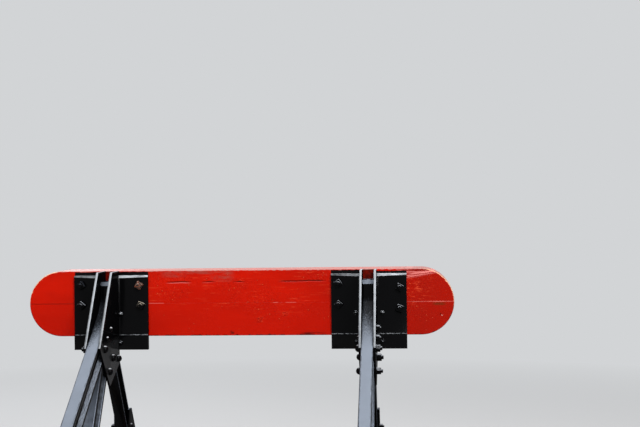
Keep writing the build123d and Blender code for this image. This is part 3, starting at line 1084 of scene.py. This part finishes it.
def buildTrackFixings():
    size = trackFixings
    screw = fastener("coach_screw", [size["screwHead"]], [size["screwFlange"]])
    clip = springClip()
    screws = []
    clips = []
    rows = [sum(corner.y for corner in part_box(name + "_sleeper")) / 2 for name in sleeperNames]
    for _, side in sides:
        for y in rows:
            for across, along in ((-1, -1), (-1, 1), (1, -1), (1, 1)):
                place = Vector((side * frameX + across * size["plateReach"] * mm,
                                y + along * size["screwSpread"] * mm, size["plateTop"] * mm))
                screws.append((place, "up", 30.0 * across + 17.0 * along))
            clips += [(Vector((side * frameX, y, 0)), "up", turn) for turn in (0.0, 180.0)]
    setFasteners("coach_screws", screw, screws, rustyFixing, 40.0, seed=11)
    setFasteners("spring_clips", clip, clips, rustyFixing, 0.0, 0.0)


buildFlangeBolts()
for kind in throughBolts["places"]:
    buildThroughBolts(kind)
buildTrackFixings()
for shape in fasteners:
    bpy.data.objects.remove(shape)
print("bolts and nuts set")


# The sleepers: sawn baulks with worn arrises and long drying checks

sawnSleeper = {
    "columns": 190,
    "pitch": 0.016,  # spacing of points across the baulk
    "arris": 0.007,
    "arrisWear": 0.009,
    "footArris": 0.003,
    "lean": 0.0016,  # depth of the sawn surface's unevenness
    "checkWidth": 0.0055,
    "checkRoom": 0.011,  # no other point comes nearer to a check
    "checkFade": 0.09,
    "endOf": 1.26,  # a check that passes this runs out through the sleeper's end
    # checks in the top face of each sleeper: place across the width (0 to 1), start, end and depth in metres
    "checks": {
        "rear": ((0.31, -1.28, -0.42, 0.016), (0.55, -0.30, 0.62, 0.012), (0.72, 0.55, 1.27, 0.018)),
        "second": (
            (0.42, -1.27, -0.70, 0.014), (0.64, -0.85, 0.25, 0.015), (0.27, 0.10, 1.05, 0.012),
            (0.5, 0.95, 1.28, 0.02),
        ),
        "third": ((0.58, -1.28, -0.15, 0.018), (0.33, -0.60, 0.45, 0.011), (0.69, 0.30, 1.28, 0.015)),
        "front": ((0.36, -1.05, -0.20, 0.013), (0.50, 0.15, 1.28, 0.019), (0.75, -1.28, -0.62, 0.015)),
    },
}


def checkDepth(along, start, end, depth):
    # a check opens slowly, and runs out at full depth only through an end of the sleeper
    fade, limit = sawnSleeper["checkFade"], sawnSleeper["endOf"]
    opening = 1.0 if start <= -limit else min(1.0, max(0.0, (along - start) / fade))
    closing = 1.0 if end >= limit else min(1.0, max(0.0, (end - along) / fade))
    past = (along < start and start <= -limit) or (along > end and end >= limit)
    return depth * opening * closing if start <= along <= end or past else 0.0


def wornArris(along, rate, seed, level):
    wave = noise.noise((along * rate, seed, level)) * 0.5 + 0.4
    return sawnSleeper["arris"] + sawnSleeper["arrisWear"] * wave ** 2 * 2


def sawnBite(along, across, up, seed):
    lean = sawnSleeper["lean"]
    coarse = 0.5 + 0.5 * noise.noise((along * 14, across * 70 + seed, up * 70))
    fine = 0.5 + 0.5 * noise.noise((along * 45, across * 160 - seed, up * 160))
    return lean * coarse + 0.6 * lean * fine


def sleeperRing(low, high, along, tops, checks, seed):
    # one section's outline: up the near side, across the top with its checks, and down the far side
    size = sawnSleeper
    width = high.y - low.y
    foot = size["footArris"]
    steps = round((high.z - low.z) / size["pitch"])
    near = wornArris(along, 9, seed, 0.5)
    far = wornArris(along, 8, seed + 5, 1.5)
    ring = [(low.y + foot, low.z), (low.y, low.z + foot)]
    ring += [(low.y, low.z + foot + (high.z - near - low.z - foot) * i / steps) for i in range(1, steps + 1)]
    ring += [(low.y + near * 0.3, high.z - near * 0.3)]
    first = len(ring)
    spanLow = low.y + near
    spanHigh = high.y - far
    ring += [(spanLow, high.z)]
    for place, check, part in tops:
        across = low.y + place * width
        down = 0.0
        if check is not None:
            across += noise.noise((along * 3, seed + check * 3, 7.0)) * 0.010 + part * size["checkWidth"] / 2
            down = checkDepth(along, *checks[check][1:]) if part == 0 else 0.0
        ring.append((min(max(across, spanLow + 0.001), spanHigh - 0.001), high.z - down))
    ring += [(spanHigh, high.z), (high.y - far * 0.3, high.z - far * 0.3)]
    last = len(ring)
    ring += [(high.y, high.z - far - (high.z - far - low.z - foot) * i / steps) for i in range(steps + 1)]
    ring += [(high.y - foot, low.z)]
    bitten = []
    for index, (across, up) in enumerate(ring):
        bite = sawnBite(along, across, up, seed)
        if up > high.z - 0.004 and first <= index < last:
            up -= bite
        elif low.z + 0.004 < up:
            across += bite if across < (low.y + high.y) / 2 else -bite
        bitten.append((along, across, up))
    return bitten


def buildSleeper(name, seed):
    size = sawnSleeper
    low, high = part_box(name + "_sleeper")
    width = high.y - low.y
    checks = size["checks"][name]
    count = round(width / size["pitch"])
    # points across the top: place, and for a check its number and left, middle or right
    tops = sorted({round(i / count, 5) for i in range(1, count)})
    tops = [(t, None, 0) for t in tops if all(abs(t - c[0]) * width > size["checkRoom"] for c in checks)]
    tops += [(check[0], k, part) for k, check in enumerate(checks) for part in (-1, 0, 1)]
    tops.sort(key=lambda item: (item[0], item[2]))
    body = bmesh.new()
    rings = []
    for column in range(size["columns"] + 1):
        along = low.x + (high.x - low.x) * column / size["columns"]
        ring = sleeperRing(low, high, along, tops, checks, seed)
        rings.append([body.verts.new(point) for point in ring])
    loft(body, rings)
    bmesh.ops.triangulate(body, faces=[face for face in body.faces if len(face.verts) > 4])
    bmesh.ops.recalc_face_normals(body, faces=body.faces)
    finish(meshObject(name + "_sawn_sleeper", body, timber), timber, name + "_sleeper")


for order, name in enumerate(sleeperNames):
    buildSleeper(name, 20.0 + order * 4)
print("sleepers sawn")
